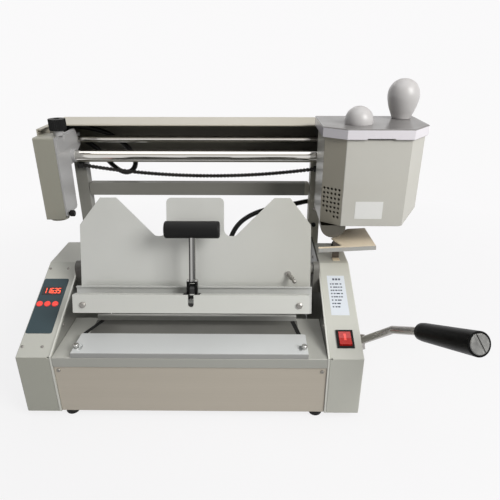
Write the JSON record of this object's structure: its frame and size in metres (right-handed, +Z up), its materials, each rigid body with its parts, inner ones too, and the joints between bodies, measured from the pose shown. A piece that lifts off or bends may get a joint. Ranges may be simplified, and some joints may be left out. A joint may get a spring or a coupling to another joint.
{
  "type": "perfect binding machine",
  "caption": "Tabletop perfect binding machine: turning book clamp over a nipping table, sliding glue head and milling head on rods, side lever.",
  "frame": {"origin": "middle of the machine's footprint at floor level, conduits left out", "axes": "+X to the operator's right along the rails, +Y from the operator to the back, +Z up"},
  "size_m": [0.651, 0.4982, 0.4878],
  "materials": {
    "pan_paint": "satin",
    "shell_paint": "satin powder coat",
    "panel_paint": "satin",
    "deck_steel": "satin",
    "nip_steel": "satin",
    "frame_steel": "satin",
    "rail_paint": "satin",
    "rod_chrome": "ground",
    "bright_steel": "machined",
    "plate_steel": "satin",
    "black_steel": "blackened",
    "dark_rubber": "matt",
    "black_plastic": "fine grain",
    "grip_plastic": "semi gloss",
    "conduit_plastic": "corrugated",
    "overlay_film": "satin film",
    "display_glass": "gloss",
    "board_green": "lacquered",
    "red_lens": "lit lens",
    "lever_steel": "machined",
    "tray_metal": "thin sheet",
    "lid_paint": "gloss",
    "knob_plastic": "gloss",
    "tank_metal": "cast",
    "carriage_metal": "machined",
    "olive_paint": "satin",
    "drum_rubber": "satin",
    "tool_steel": "ground"
  },
  "bodies": {
    "frame": {"base_pan": "pan_paint", "rubber_feet": "dark_rubber", "front_panel": "panel_paint", "table_top": "deck_steel", "rear_nip_bar": "bright_steel", "left_side_plate": "frame_steel", "right_side_plate": "frame_steel", "left_side_cover": "shell_paint", "right_side_cover": "shell_paint", "control_panel": "overlay_film", "display_window": "display_glass", "control_board": "board_green", "switch_bezel": "black_plastic", "power_inlet": "black_plastic", "tower_posts": "frame_steel", "cross_bar": "frame_steel", "rail_channel": "rail_paint", "rail_end_plates": "rail_paint", "main_guide_rod": "rod_chrome", "rear_guide_rod": "rod_chrome", "drive_chain": "black_steel", "chain_anchors": "black_steel", "supply_conduit": "conduit_plastic", "channel_conduit": "conduit_plastic", "conduit_glands": "black_plastic", "drip_tray": "tray_metal", "pivot_bushes": "black_steel"},
    "nip": {"nip_plate": "nip_steel", "nip_pins": "bright_steel", "nip_carriage": "bright_steel"},
    "nip_lever": {"nip_shaft": "bright_steel", "lever_arm": "lever_steel", "lever_grip": "grip_plastic", "grip_cap": "bright_steel"},
    "clamp": {"clamp_back_plate": "plate_steel", "clamp_side_arms": "frame_steel", "clamp_guide_rods": "rod_chrome", "clamp_front_bar": "plate_steel", "clamp_studs": "bright_steel", "lever_clevis": "black_steel"},
    "jaw": {"clamp_jaw": "plate_steel"},
    "tee_lever": {"clamp_lever": "rod_chrome", "clamp_lever_grip": "grip_plastic"},
    "glue_head": {"head_carriage": "carriage_metal", "head_shell": "shell_paint", "glue_tank": "tank_metal"},
    "lid": {"head_lid": "lid_paint", "ball_knob": "knob_plastic", "push_knob": "knob_plastic"},
    "roller": {"glue_roller": "drum_rubber"},
    "mill_head": {"mill_carriage": "carriage_metal", "mill_cover": "olive_paint"},
    "mill_spindle": {"mill_motor": "tool_steel"},
    "cutter": {"mill_cutter": "tool_steel"},
    "depth_dial": {"depth_knob": "black_plastic"},
    "lock_screw": {"lock_knob": "black_plastic"},
    "key_1": {"button_1": "red_lens"},
    "key_2": {"button_2": "red_lens"},
    "key_3": {"button_3": "red_lens"},
    "rocker": {"power_rocker": "red_lens"}
  },
  "joints": [
    {"name": "nip_lever_turn", "type": "hinge", "parent": "frame", "child": "nip_lever", "pos_m": [-0.0535, -0.05194, 0.101], "axis": [1, 0, 0], "range_deg": [0, 55]},
    {"name": "nip_slide", "type": "slide", "parent": "frame", "child": "nip", "axis": [0, 1, 0], "range_m": [0, 0.0474]},
    {"name": "clamp_flip", "type": "hinge", "parent": "frame", "child": "clamp", "pos_m": [-0.0535, 0.03406, 0.19], "axis": [-1, 0, 0], "range_deg": [-19.07, 160.93]},
    {"name": "clamp_lever_turn", "type": "hinge", "parent": "clamp", "child": "tee_lever", "pos_m": [-0.0535, -0.06348, 0.18944], "axis": [1, 0, 0], "range_deg": [0, 50]},
    {"name": "jaw_slide", "type": "slide", "parent": "clamp", "child": "jaw", "axis": [0, -0.9451, 0.3267], "range_m": [0, 0.01082]},
    {"name": "head_slide", "type": "slide", "parent": "frame", "child": "glue_head", "axis": [1, 0, 0], "range_m": [-0.39, 0]},
    {"name": "roller_spin", "type": "hinge", "parent": "glue_head", "child": "roller", "pos_m": [0.2025, 0.10606, 0.2715], "axis": [0, 1, 0], "range_deg": [0, 700]},
    {"name": "lid_hinge", "type": "hinge", "parent": "glue_head", "child": "lid", "pos_m": [0.2315, 0.15926, 0.4112], "axis": [-1, 0, 0], "range_deg": [0, 90]},
    {"name": "mill_slide", "type": "slide", "parent": "frame", "child": "mill_head", "axis": [1, 0, 0], "range_m": [0, 0.36]},
    {"name": "depth_knob_turn", "type": "hinge", "parent": "mill_head", "child": "depth_dial", "pos_m": [-0.2845, 0.10906, 0.41], "axis": [0, 0, 1], "range_deg": [0, 330]},
    {"name": "spindle_lift", "type": "slide", "parent": "mill_head", "child": "mill_spindle", "axis": [0, 0, 1], "range_m": [0, 0.00576]},
    {"name": "cutter_spin", "type": "hinge", "parent": "mill_spindle", "child": "cutter", "pos_m": [-0.3026, 0.10126, 0.264], "axis": [0, 0, 1], "continuous": true},
    {"name": "lock_knob_turn", "type": "hinge", "parent": "mill_head", "child": "lock_screw", "pos_m": [-0.2785, 0.09206, 0.267], "axis": [1, 0, 0], "range_deg": [0, 180]},
    {"name": "button_1_press", "type": "slide", "parent": "frame", "child": "key_1", "axis": [0, 0.4114, -0.9115], "range_m": [0, 0.001], "stiffness_N_per_m": 400, "springref_m": -0.001},
    {"name": "button_2_press", "type": "slide", "parent": "frame", "child": "key_2", "axis": [0, 0.4114, -0.9115], "range_m": [0, 0.001], "stiffness_N_per_m": 400, "springref_m": -0.001},
    {"name": "button_3_press", "type": "slide", "parent": "frame", "child": "key_3", "axis": [0, 0.4114, -0.9115], "range_m": [0, 0.001], "stiffness_N_per_m": 400, "springref_m": -0.001},
    {"name": "rocker_tilt", "type": "hinge", "parent": "frame", "child": "rocker", "pos_m": [0.1815, -0.08424, 0.12874], "axis": [1, 0, 0], "range_deg": [0, 14]}
  ],
  "couplings": [
    {"joint": "nip_slide", "follows": "nip_lever_turn", "m_per_rad": 0.049378},
    {"joint": "jaw_slide", "follows": "clamp_lever_turn", "m_per_rad": 0.01229},
    {"joint": "roller_spin", "follows": "head_slide", "rad_per_m": -30.872},
    {"joint": "depth_knob_turn", "follows": "spindle_lift", "rad_per_m": 999.9}
  ]
}
